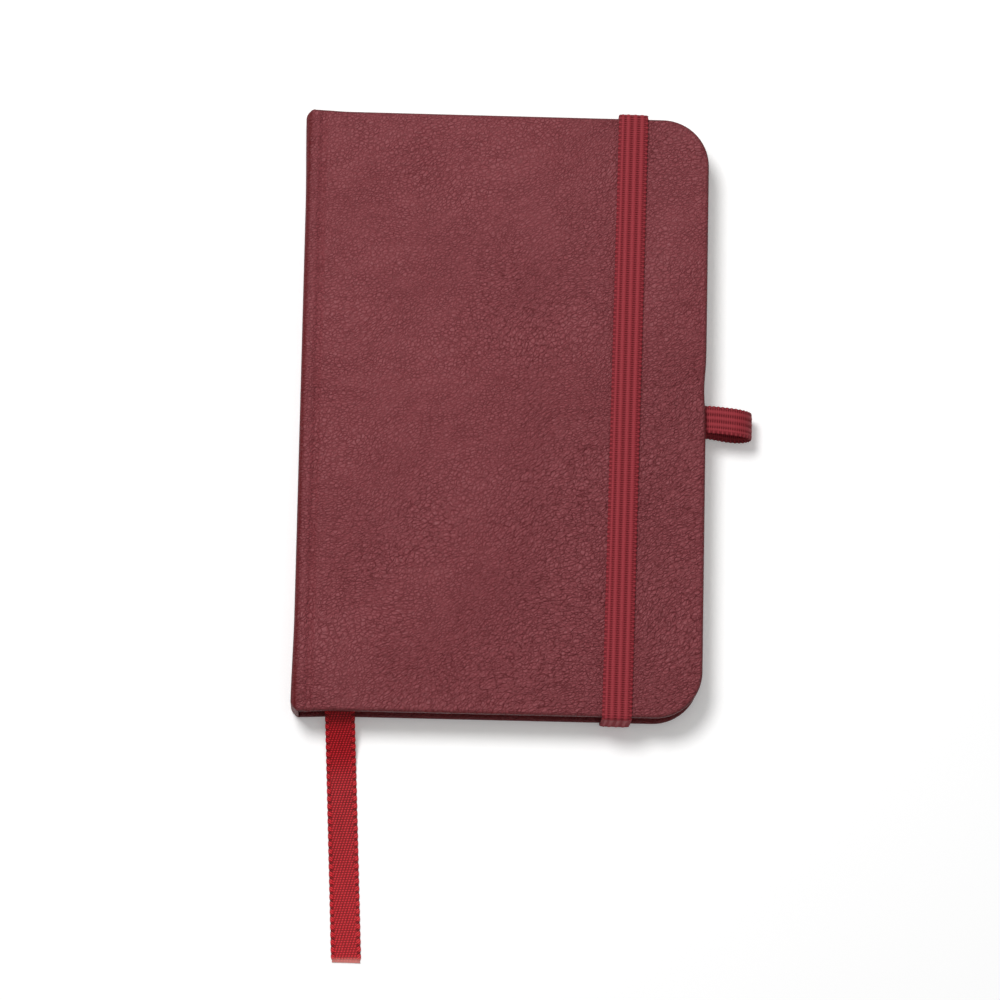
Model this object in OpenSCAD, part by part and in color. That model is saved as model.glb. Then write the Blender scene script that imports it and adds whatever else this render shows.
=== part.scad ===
// Case-bound pocket notebook with an elastic closure band, a pen loop and a ribbon marker.
// It lies closed on its back cover: +X from spine to fore edge, +Y from tail to head, +Z up.
// The origin is the middle of the back cover's outer face.

/* [Cover] */
// Width of the closed notebook, spine to fore edge
cover_w = 95; // [80:1:130]
// Height of the closed notebook, tail to head
cover_h = 142; // [120:1:190]
// Radius of the two fore-edge corners
corner_r = 11; // [4:0.5:14]
// Thickness of the imitation-leather skin
skin_t = 0.6; // [0.4:0.05:0.8]
// Thickness of the grey board in each cover
board_t = 1.4; // [1.2:0.1:2.4]
// How far the skin is turned in over the board
turn_in_w = 11; // [9:1:11.5]
// Thickness of the pared, turned-in skin
turn_in_t = 0.25; // [0.15:0.05:0.4]

/* [Spine] */
// Thickness of the card strip in the spine
spine_card_t = 1; // [0.6:0.1:1.4]
// Clearance between the spine and each cover's inner end
hinge_gap = 0.25; // [0.2:0.05:0.5]
// Distance from the spine to the middle of the pressed hinge groove
groove_inset = 4; // [3.2:0.1:6]
// Depth of the pressed hinge groove
groove_depth = 0.2; // [0.1:0.05:0.3]

/* [Pages] */
// Thickness of one signature of eight leaves
sig_t = 0.75; // [0.6:0.05:1.2]
// Thickness of an endpaper leaf
endpaper_t = 0.15; // [0.1:0.05:0.2]
// How far the pages stay inside the cover's edges
page_recess = 3; // [2:0.5:5]
// Radius of the pages' fore-edge corners
page_corner_r = 8; // [3:0.5:10]
// Thickness of the spine lining
lining_t = 0.15; // [0.1:0.05:0.3]
// Diameter of the sewing thread
thread_d = 0.3; // [0.2:0.05:0.4]

/* [Elastic band] */
// Width of the elastic band
band_w = 7; // [5:0.5:10]
// Thickness of the elastic band
band_t = 0.9; // [0.6:0.05:1]
// Distance from the fore edge to the middle of the band
band_inset = 18.85; // [15:0.05:30]
// Angle by which the band runs askew, in degrees
band_skew = 0.7; // [0:0.1:1]
// Distance from the head or tail edge to the slot that the band goes through
slot_inset = 9; // [6:0.5:12]
// Length of each band end glued inside the back board
band_glue_len = 12; // [8:1:20]

/* [Pen loop] */
// Inner radius of the loop's round end
loop_r = 4.4; // [3:0.1:4.6]
// Width of the loop's elastic
loop_w = 6.5; // [5:0.5:10]
// Thickness of the loop's elastic
loop_t = 0.8; // [0.6:0.05:0.8]
// How far the loop stands out from the fore edge
loop_reach = 11.4; // [11.2:0.1:14]
// Distance of the loop's middle from mid-height, towards the tail
loop_drop = 0.4; // [0:0.1:10]
// Length of the two loop ends glued inside the back board
loop_glue_len = 9; // [6:0.5:9]

/* [Ribbon] */
// Width of the ribbon marker
ribbon_w = 7; // [4:0.5:8]
// Thickness of the ribbon marker
ribbon_t = 0.25; // [0.15:0.05:0.3]

/* [Hidden] */
$fn = 64;
clear = 0.05;
slot_clear = 0.15;
cut = 1;
tail_free = [
    [-36.2, -68, 6.5], [-36.1, -70, 6.4], [-36, -72, 5.9], [-35.9, -74, 4.9], [-35.8, -76, 3.7],
    [-35.7, -78, 2.5], [-35.6, -80, 1.5], [-35.5, -82, 0.8], [-35.4, -84, 0.4], [-35.3, -86, 0.25],
    [-35.2, -88, 0.2], [-34.9, -94, 0.2], [-34.6, -100, 0.2], [-34.3, -106, 0.2], [-34, -112, 0.2],
    [-33.7, -118, 0.2], [-33.4, -124, 0.2], [-33.2, -128, 0.2]
];
stitch_rows = 6;
stitch_inset = 10.5;
rear_signatures = 5;
ribbon_gap = ribbon_t + clear;

// Planes and edges that several pieces share
fore_x = cover_w / 2;
spine_x = -cover_w / 2;
half_h = cover_h / 2;
cover_x0 = spine_x + skin_t + spine_card_t + turn_in_t + hinge_gap;
board_top = skin_t + board_t;
turn_in_top = board_top + turn_in_t;
cover_t = turn_in_top + endpaper_t;
rear_fly_z = cover_t + clear;
rear_sig_z = rear_fly_z + endpaper_t;
mid_gap_z = rear_sig_z + rear_signatures * sig_t;
front_sig_z = mid_gap_z + ribbon_gap;
front_fly_z = front_sig_z + rear_signatures * sig_t;
total_t = front_fly_z + endpaper_t + clear + cover_t;
spine_z0 = cover_t / 2;
spine_z1 = total_t - cover_t / 2;
page_x1 = fore_x - page_recess;
page_half_h = half_h - page_recess;
lining_x = cover_x0;
fold_x = lining_x + lining_t + thread_d + clear;
band_x = fore_x - band_inset;
slot_y = half_h - slot_inset;
loop_rc = loop_r + loop_t / 2;
loop_cx = fore_x + loop_reach - loop_r - loop_t;
loop_cz = loop_r + loop_t + 2 * clear;
loop_low_z = skin_t + clear + loop_t / 2;
loop_high_z = min(loop_cz + loop_rc, total_t - cover_t - 2 * clear - loop_t / 2);
loop_rise_x = page_x1 + 0.3 + loop_t / 2;
loop_end_x = page_x1 + 1 - loop_glue_len;
loop_sill = [fore_x + 0.1, turn_in_top + clear + loop_t / 2];

// ---- Shared shapes ----

// Outline with square corners at the spine and round ones at the fore edge
module leaf_outline(x0, x1, half, r) {
    translate([x0, -half]) square([x1 - r - x0, 2 * half]);
    translate([x0, r - half]) square([x1 - x0, 2 * (half - r)]);
    for (side = [-1, 1]) translate([x1 - r, side * (half - r)]) circle(r);
}

module leaf(x0, x1, half, r, z, t) {
    translate([0, 0, z]) linear_extrude(t) leaf_outline(x0, x1, half, r);
}

// Turns a piece of the back cover over to make the front cover's
module on_front() {
    translate([0, 0, total_t]) mirror([0, 0, 1]) children();
}

// Extrudes an XZ profile along Y, from y0 over a length
module along_y(y0, length) {
    translate([0, y0 + length, 0]) rotate([90, 0, 0]) linear_extrude(length) children();
}

module rounded_rectangle(x0, y0, x1, y1, r) {
    translate([x0, y0 + r]) square([x1 - x0, y1 - y0 - 2 * r]);
    translate([x0 + r, y0]) square([x1 - x0 - 2 * r, y1 - y0]);
    for (x = [x0 + r, x1 - r], y = [y0 + r, y1 - r]) translate([x, y]) circle(r);
}

// Outline of a strip of constant thickness along straight runs, mitred where they meet
function left_of(a, b) = let (d = (b - a) / norm(b - a)) [-d[1], d[0]];

function mitre(points, i, t) = let (
    last = len(points) - 1,
    before = left_of(points[max(i, 1) - 1], points[max(i, 1)]),
    after = left_of(points[min(i, last - 1)], points[min(i, last - 1) + 1]),
    middle = (before + after) / 2
) middle / (middle * middle) * t / 2;

module strip_path(points, t) {
    last = len(points) - 1;
    polygon(concat(
        [for (i = [0 : last]) points[i] + mitre(points, i, t)],
        [for (i = [last : -1 : 0]) points[i] - mitre(points, i, t)]
    ));
}

// ---- Covers ----

module cover_skin_body() {
    groove_r = 1.2;
    difference() {
        leaf(cover_x0, fore_x, half_h, corner_r, 0, turn_in_top);
        board_body();
        translate([cover_x0 - cut, turn_in_w - half_h, board_top])
            cube([fore_x - turn_in_w - cover_x0 + cut, 2 * (half_h - turn_in_w), cut]);
        translate([spine_x + groove_inset, -half_h - cut, groove_depth - groove_r])
            rotate([-90, 0, 0]) cylinder(h = cover_h + 2 * cut, r = groove_r);
    }
}

module board_body() {
    leaf(cover_x0 + skin_t, fore_x - skin_t, half_h - skin_t, corner_r - skin_t, skin_t, board_t);
}

module pastedown_body() {
    leaf(cover_x0, page_x1, page_half_h, page_corner_r, turn_in_top, endpaper_t);
    translate([cover_x0, turn_in_w - half_h, board_top])
        cube([fore_x - turn_in_w - cover_x0, 2 * (half_h - turn_in_w), turn_in_t]);
}

// Channels, slots and pockets for the elastic band, cut into the back cover
module band_room() {
    slot_w = band_t + 2 * slot_clear;
    room_w = band_w + 2 * slot_clear;
    translate([band_x, 0, 0]) rotate(-band_skew) for (side = [0, 1]) mirror([0, side, 0]) {
        translate([-room_w / 2, slot_y - slot_w / 2, -cut])
            cube([room_w, slot_inset + slot_w / 2 + cut, cut + 2 * clear + band_t]);
        translate([-room_w / 2, slot_y - slot_w / 2, -cut]) cube([room_w, slot_w, cut + board_top]);
        translate([-room_w / 2, slot_y - band_glue_len - slot_clear, board_top - band_t - clear])
            cube([room_w, band_glue_len + slot_clear, band_t + clear]);
    }
}

// Notch for the two glued ends of the pen loop, open at the fore edge
module loop_room() {
    room_w = loop_w + 2 * slot_clear;
    translate([loop_end_x - loop_t, -loop_drop - room_w / 2, skin_t])
        cube([fore_x - loop_end_x + loop_t + cut, room_w, cover_t]);
}

module back_cover_skin() {
    color("#7e4247") difference() {
        cover_skin_body();
        band_room();
        loop_room();
    }
}

module back_board() {
    color("#8c8478") difference() {
        board_body();
        band_room();
        loop_room();
    }
}

module back_pastedown() {
    color("#efe6cf") pastedown_body();
}

module front_cover_skin() {
    color("#7e4247") on_front() cover_skin_body();
}

module front_board() {
    color("#8c8478") on_front() board_body();
}

module front_pastedown() {
    color("#efe6cf") on_front() pastedown_body();
}

// ---- Spine and joints ----

module spine_strip() {
    color("#8c8478") translate([spine_x + skin_t, skin_t - half_h, spine_z0 + clear])
        cube([spine_card_t, cover_h - 2 * skin_t, spine_z1 - spine_z0 - 2 * clear]);
}

module spine_skin() {
    depth = skin_t + spine_card_t + turn_in_t;
    height = spine_z1 - spine_z0;
    color("#7e4247") difference() {
        translate([spine_x, -half_h, spine_z0]) cube([depth, cover_h, height]);
        translate([spine_x + skin_t, skin_t - half_h, spine_z0 - cut])
            cube([spine_card_t, cover_h - 2 * skin_t, height + 2 * cut]);
        translate([spine_x + skin_t, turn_in_w - half_h, spine_z0 - cut])
            cube([depth, 2 * (half_h - turn_in_w), height + 2 * cut]);
    }
}

// Flexible stretch of skin from the spine round to a cover, as an XZ profile
module joint_profile() {
    bend_r = cover_t / 2;
    bend_x = spine_x + bend_r;
    translate([bend_x, 0]) square([cover_x0 - bend_x, skin_t]);
    intersection() {
        translate([bend_x, bend_r]) difference() {
            circle(bend_r);
            circle(bend_r - skin_t);
        }
        translate([spine_x, 0]) square(bend_r);
    }
}

module rear_joint_skin() {
    color("#7e4247") along_y(-half_h, cover_h) joint_profile();
}

module front_joint_skin() {
    color("#7e4247") on_front() along_y(-half_h, cover_h) joint_profile();
}

// ---- Pages ----

// A folded signature: a stack of leaves with a round fold at the spine
module signature(z) {
    color("#f2ead6") union() {
        leaf(fold_x + sig_t / 2, page_x1, page_half_h, page_corner_r, z, sig_t);
        translate([fold_x + sig_t / 2, -page_half_h, z + sig_t / 2])
            rotate([-90, 0, 0]) cylinder(h = 2 * page_half_h, r = sig_t / 2);
    }
}

module flyleaf(z) {
    color("#efe6cf") leaf(fold_x, page_x1, page_half_h, page_corner_r, z, endpaper_t);
}

module spine_lining(z) {
    color("#d8cfbb") translate([lining_x, -page_half_h, z])
        cube([lining_t, 2 * page_half_h, rear_signatures * sig_t]);
}

module sewing_thread(z) {
    last_y = page_half_h - stitch_inset;
    color("#f7f4ec") for (i = [0 : stitch_rows - 1])
        translate([fold_x - thread_d / 2 - clear / 2, last_y * (2 * i / (stitch_rows - 1) - 1), z])
            cylinder(h = rear_signatures * sig_t, d = thread_d);
}

// ---- Ribbon marker ----

// The length between the two middle signatures, from the fold at the head to the tail edge
module ribbon_inside() {
    start = [tail_free[0][0], -page_half_h];
    run = [fold_x + ribbon_w / 2 + 0.4, page_half_h - 1.5] - start;
    color("#a12f35") translate([start[0], start[1], mid_gap_z + (ribbon_gap - ribbon_t) / 2])
        rotate(atan2(run[1], run[0])) translate([0, -ribbon_w / 2, 0])
        cube([norm(run), ribbon_w, ribbon_t]);
}

// Flat section of the ribbon with thin selvedges, across and up
function ribbon_section(w, t) = [
    [-w / 2, -t / 4], [-w / 2 + t, -t / 2], [w / 2 - t, -t / 2], [w / 2, -t / 4],
    [w / 2, t / 4], [w / 2 - t, t / 2], [-w / 2 + t, t / 2], [-w / 2, t / 4]
];

function heading(path, i) = let (
    a = path[max(i - 1, 0)],
    b = path[min(i + 1, len(path) - 1)]
) (b - a) / norm(b - a);

// One ring of the ribbon: across is level, up is square to the heading
function ribbon_ring(path, i) = let (
    ahead = heading(path, i),
    side = cross(ahead, [0, 0, 1]),
    across = side / norm(side),
    up = cross(across, ahead)
) [for (p = ribbon_section(ribbon_w, ribbon_t)) path[i] + p[0] * across + p[1] * up];

module ribbon_tail() {
    n = len(ribbon_section(ribbon_w, ribbon_t));
    rings = len(tail_free);
    skin = [for (i = [0 : rings - 1]) each ribbon_ring(tail_free, i)];
    sides = [for (i = [0 : rings - 2], j = [0 : n - 1]) let (k = (j + 1) % n)
        [i * n + j, i * n + k, (i + 1) * n + k, (i + 1) * n + j]];
    start_cap = [for (j = [n - 1 : -1 : 0]) j];
    end_cap = [for (j = [0 : n - 1]) (rings - 1) * n + j];
    color("#a12f35") polyhedron(skin, concat([start_cap], sides, [end_cap]));
}

// ---- Elastic band ----

// The band's section along its length: round the front cover and into the back's channels
module elastic_strap() {
    reach = half_h + slot_clear;
    bend_r = 1.2;
    top = total_t + clear;
    run_end = slot_y + band_t / 2;
    color("#882f36") translate([band_x, 0, 0]) rotate(-band_skew) rotate([90, 0, 90])
        translate([0, 0, -band_w / 2]) linear_extrude(band_w) difference() {
            rounded_rectangle(-reach - band_t, clear, reach + band_t, top + band_t, bend_r);
            rounded_rectangle(-reach, clear + band_t, reach, top, bend_r / 6);
            translate([-run_end, -cut]) square([2 * run_end, total_t / 2]);
        }
}

module strap_end(side) {
    color("#882f36") translate([band_x, 0, 0]) rotate(-band_skew) mirror([0, side, 0])
        translate([-band_w / 2, slot_y, 0]) union() {
            translate([0, -band_t / 2, clear]) cube([band_w, band_t, board_top - clear]);
            translate([0, -band_glue_len, board_top - band_t])
                cube([band_w, band_glue_len, band_t]);
        }
}

// ---- Pen loop ----

// Angle, seen from the loop's centre, where the lower strand meets the round end
function lower_tangent() = let (
    d = loop_sill - [loop_cx, loop_cz]
) atan2(d[1], d[0]) + acos(loop_rc / norm(d));

module loop_round_end() {
    far = 3 * loop_r;
    a = lower_tangent();
    translate([loop_cx, loop_cz]) difference() {
        circle(loop_r + loop_t);
        circle(loop_r);
        polygon([[0, 0], [0, far], [-far, far], [-far, -far], far * [cos(a), sin(a)]]);
    }
}

// The two strands are a little thinner than the round end, which they run into
module pen_loop() {
    lap = 0.3;
    strand_t = loop_t - 0.06;
    a = lower_tangent();
    ledge_x = page_x1 + 1.7;
    lower = [
        [loop_end_x, loop_low_z], [page_x1 + 0.4, loop_low_z], [ledge_x, loop_sill[1]], loop_sill,
        [loop_cx, loop_cz] + loop_rc * [cos(a), sin(a)] + lap * [-sin(a), cos(a)]
    ];
    upper = [
        [loop_end_x, loop_low_z + loop_t], [loop_rise_x, loop_low_z + loop_t],
        [loop_rise_x, loop_high_z - 1.9], [loop_rise_x + 0.7, loop_high_z - 0.5],
        [fore_x - 0.3, loop_high_z], [loop_cx, loop_cz + loop_rc], [loop_cx + lap, loop_cz + loop_rc]
    ];
    y0 = -loop_drop - loop_w / 2;
    color("#882f36") union() {
        along_y(y0, loop_w) strip_path(lower, strand_t);
        along_y(y0, loop_w) strip_path(upper, strand_t);
        along_y(y0, loop_w) loop_round_end();
    }
}

// ---- Nodes ----

back_board();
back_cover_skin();
rear_joint_skin();
back_pastedown();
flyleaf(rear_fly_z);  // rear_flyleaf
signature(rear_sig_z);  // signature_10
signature(rear_sig_z + sig_t);  // signature_09
signature(rear_sig_z + 2 * sig_t);  // signature_08
signature(rear_sig_z + 3 * sig_t);  // signature_07
signature(rear_sig_z + 4 * sig_t);  // signature_06
signature(front_sig_z);  // signature_05
signature(front_sig_z + sig_t);  // signature_04
signature(front_sig_z + 2 * sig_t);  // signature_03
signature(front_sig_z + 3 * sig_t);  // signature_02
signature(front_sig_z + 4 * sig_t);  // signature_01
flyleaf(front_fly_z);  // front_flyleaf
spine_lining(rear_sig_z);  // rear_spine_lining
spine_lining(front_sig_z);  // front_spine_lining
sewing_thread(rear_sig_z);  // rear_sewing_thread
sewing_thread(front_sig_z);  // front_sewing_thread
spine_strip();
spine_skin();
front_joint_skin();
front_board();
front_cover_skin();
front_pastedown();
ribbon_inside();
ribbon_tail();
elastic_strap();
strap_end(0);  // strap_end_head
strap_end(1);  // strap_end_tail
pen_loop();
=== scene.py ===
"""Pocket notebook: the looks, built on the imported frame.
Lengths are in millimetres until make_piece()."""
import math
import random

import bpy
import numpy as np
from mathutils import Matrix, Vector, noise


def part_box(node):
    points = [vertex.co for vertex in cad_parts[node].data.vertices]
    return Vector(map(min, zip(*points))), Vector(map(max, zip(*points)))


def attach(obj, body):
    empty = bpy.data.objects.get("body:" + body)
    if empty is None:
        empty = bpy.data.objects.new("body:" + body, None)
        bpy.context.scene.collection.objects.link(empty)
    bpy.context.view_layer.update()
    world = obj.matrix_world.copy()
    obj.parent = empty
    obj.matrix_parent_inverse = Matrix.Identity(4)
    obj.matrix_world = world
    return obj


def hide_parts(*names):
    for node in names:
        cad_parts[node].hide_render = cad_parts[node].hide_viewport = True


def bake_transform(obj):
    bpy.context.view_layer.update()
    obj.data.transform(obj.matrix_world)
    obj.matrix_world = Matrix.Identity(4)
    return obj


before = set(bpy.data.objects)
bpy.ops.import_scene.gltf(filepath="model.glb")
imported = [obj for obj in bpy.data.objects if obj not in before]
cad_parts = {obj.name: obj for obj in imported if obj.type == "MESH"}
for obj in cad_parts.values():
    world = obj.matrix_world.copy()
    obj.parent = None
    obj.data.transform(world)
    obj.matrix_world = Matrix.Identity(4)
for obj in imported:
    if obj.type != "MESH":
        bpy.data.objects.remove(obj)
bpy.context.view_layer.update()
MM = 0.001


def span(node):
    """Lowest and highest corner of a CAD node, in millimetres."""
    lo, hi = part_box(node)
    return np.array(lo) * 1000, np.array(hi) * 1000


# ---------------------------------------------------------------- camera and cord route

CAMERA_PLACE = (-0.0288, -0.2084, 1.0906)
CAMERA_TURN = (9.83, -1.72, 1.14)
CAMERA_LENS = 169.7

RIBBON_ROUTE = [
    (-36.2, -68, 6.5), (-36.1, -70, 6.4), (-36, -72, 5.9), (-35.9, -74, 4.9), (-35.8, -76, 3.7),
    (-35.7, -78, 2.5), (-35.6, -80, 1.5), (-35.5, -82, 0.8), (-35.4, -84, 0.4), (-35.3, -86, 0.25),
    (-35.2, -88, 0.2), (-34.9, -94, 0.2), (-34.6, -100, 0.2), (-34.3, -106, 0.2), (-34, -112, 0.2),
    (-33.7, -118, 0.2), (-33.4, -124, 0.2), (-33.2, -128, 0.2),
]


def make_camera():
    data = bpy.data.cameras.new("camera")
    data.sensor_width = 36
    data.lens = CAMERA_LENS
    data.clip_start = 0.01
    data.clip_end = 20
    camera = bpy.data.objects.new("camera", data)
    camera.location = CAMERA_PLACE
    camera.rotation_euler = [math.radians(a) for a in CAMERA_TURN]
    bpy.context.scene.collection.objects.link(camera)
    bpy.context.scene.camera = camera


# ---------------------------------------------------------------- sizes that only the looks need

SKIN_T = 0.6          # leather over the boards
FLAP_T = 0.25         # leather turned in
FLAP_W = 11.0         # width of the turn-in
CORNER_R = 11.0       # fore corners of the covers
ROLL_OUT = 0.95       # roll of the leather from the outer face to the edge
ROLL_IN = 0.7         # roll from the edge to the turn-in
INSET = 3.0           # where the flat face's grid meets the rings round the edge
HALF_H = 71.0         # half the height of the covers
FIXED_X = 34.0        # grid columns up to here stay straight from tail to head
FORE_X = 44.5         # the last column, drawn to the fore edge's outline
HINGE_X = -46.3       # axis of both leather hinges
HINGE_R = 1.2
SEAM_X = -45.4        # where the hinge strips meet the covers
END_R = 2.0           # round of the spine's corners at head and tail, seen from the front
GROOVE_X = -43.4      # bottom of the pressed hinge line
WAIST = 0.35          # the spine stands out this much more at its head and tail
EDGE_SHADE_REACH = 2.5       # how soon painted shade deepens the leather where it rolls over an edge

GRAIN_TURN = -29      # degrees that the leather's creases slant
PEBBLES = 1.75        # pebbles to a millimetre, across the slant
CREASES = 1.02        # creases to a millimetre, across the slant

SHEETS = 4            # folded sheets in each signature
PAGE_CORNER_R = 8.0

BAND_X = 28.65
BAND_TURN = math.radians(-0.7)
BAND_W = 7.0
BAND_T = 0.9
WAY_HALF = 3.6        # half width of the sunk ways for the elastic in the back cover
SLOT_Y = (61.5, 62.5)  # where the elastic's slots start and end
BLEND_TO = (66.0, 12.6)    # y and z where it has become the strap
RUNG_PITCH = 0.52     # weft threads across the elastic's valleys
PICOT_PITCH = 1.04    # loops along its edges

RIBBON_W = 7.0
SELVEDGE_PITCH = 1.75  # loops along the ribbon's edges
SELVEDGE_CORD = 3.02  # from the ribbon's middle to the cord in each edge

WORLD_LEVEL = 0.18    # light from the surroundings
FLOOR_GLOW = (220.0, 600.0)  # the floor turns plain white between these distances from the object


# ---------------------------------------------------------------- mesh helpers

def make_piece(name, points, faces, finish, slot, sharp=40, **attributes):
    """A smooth-shaded mesh object from points in millimetres.
    Each point's place at rest is kept for the textures."""
    points = np.asarray(points, float)
    faces = facing_out(points, faces)
    mesh = bpy.data.meshes.new(name)
    mesh.from_pydata((points * MM).tolist(), [], faces)
    mesh.polygons.foreach_set("use_smooth", [True] * len(mesh.polygons))
    mesh.set_sharp_from_angle(angle=math.radians(sharp))
    attributes["rest_mm"] = points
    for key, values in attributes.items():
        data = mesh.attributes.new(key, "FLOAT_VECTOR", "POINT")
        data.data.foreach_set("vector", np.asarray(values, np.float32).ravel())
    mesh.materials.append(finish)
    mesh.update()
    piece = bpy.data.objects.new(name, mesh)
    bpy.context.scene.collection.objects.link(piece)
    return piece


def facing_out(points, faces):
    """The faces of a closed mesh, all turned round if it is inside out."""
    fans = [(f[0], f[k], f[k + 1]) for f in faces for k in range(1, len(f) - 1)]
    a, b, c = points[np.array(fans)].transpose(1, 0, 2)
    volume = np.einsum("ij,ij->i", a, np.cross(b, c)).sum()
    return [f[::-1] for f in faces] if volume < 0 else faces


def as_vectors(values):
    """One number for each point, stored as the first part of a vector."""
    return np.column_stack([values, np.zeros((len(values), 2))])


def grid_faces(ids):
    """Quads over a two-way array of point numbers."""
    a, b, c, d = ids[:-1, :-1], ids[1:, :-1], ids[1:, 1:], ids[:-1, 1:]
    return np.stack([a, b, c, d], -1).reshape(-1, 4).tolist()


def close_shell(outer, inner, faces):
    """Closed shell from an open surface's points, their inner twins and its faces."""
    n = len(outer)
    edges = {(f[k - 1], f[k]) for f in faces for k in range(len(f))}
    shell = [list(f) for f in faces]
    shell += [[v + n for v in reversed(f)] for f in faces]
    shell += [[b, a, a + n, b + n] for a, b in edges if (b, a) not in edges]
    return np.vstack([outer, inner]), sorted(shell)


def tube_faces(rings, around):
    """Quads round a tube of rings, with a cap of one face at each end."""
    ids = np.arange(rings * around).reshape(rings, around)
    faces = grid_faces(np.hstack([ids, ids[:, :1]]))
    return faces + [ids[0].tolist(), ids[-1][::-1].tolist()]


def smoothstep(low, high, x):
    t = np.clip((np.asarray(x, float) - low) / (high - low), 0, 1)
    return t * t * (3 - 2 * t)


def bell(x, middle, width):
    return np.exp(-((np.asarray(x, float) - middle) / width) ** 2)


def soft_noise(x, y, size, seed):
    """Slow unevenness in -1 to 1 at each point."""
    at = zip(np.ravel(x) / size, np.ravel(y) / size)
    return np.array([noise.noise((a, b, seed)) for a, b in at]).reshape(np.shape(x))


def resample(path, step):
    """Points about step apart on a smooth curve through path, and the distance along it."""
    path = np.asarray(path, float)
    ends = np.vstack([2 * path[0] - path[1], path, 2 * path[-1] - path[-2]])
    fine = []
    for k in range(1, len(ends) - 2):
        p0, p1, p2, p3 = ends[k - 1:k + 3]
        for t in np.linspace(0, 1, 24, endpoint=False):
            fine.append(0.5 * (2 * p1 + (p2 - p0) * t + (2 * p0 - 5 * p1 + 4 * p2 - p3) * t ** 2
                               + (3 * p1 - p0 - 3 * p2 + p3) * t ** 3))
    return even_steps(np.array(fine + [path[-1]]), step)


def even_steps(line, step):
    """Points about step apart along a fine line, and the distance along it."""
    along = np.concatenate([[0], np.cumsum(np.linalg.norm(np.diff(line, axis=0), axis=1))])
    s = np.linspace(0, along[-1], max(2, int(round(along[-1] / step)) + 1))
    return np.stack([np.interp(s, along, line[:, k]) for k in range(line.shape[1])], 1), s


def rounded(corners, radius):
    """A line through corners with each corner rounded, as fine points."""
    corners = [np.asarray(c, float) for c in corners]
    line = [corners[0]]
    for before, corner, after in zip(corners, corners[1:], corners[2:]):
        into, out = before - corner, after - corner
        reach = min(radius, 0.49 * np.linalg.norm(into), 0.49 * np.linalg.norm(out))
        a = corner + into / np.linalg.norm(into) * reach
        b = corner + out / np.linalg.norm(out) * reach
        for t in np.linspace(0, 1, 9):
            line.append((1 - t) ** 2 * a + 2 * t * (1 - t) * corner + t * t * b)
    return np.array(line + [corners[-1]])


# ---------------------------------------------------------------- node helpers

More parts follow.
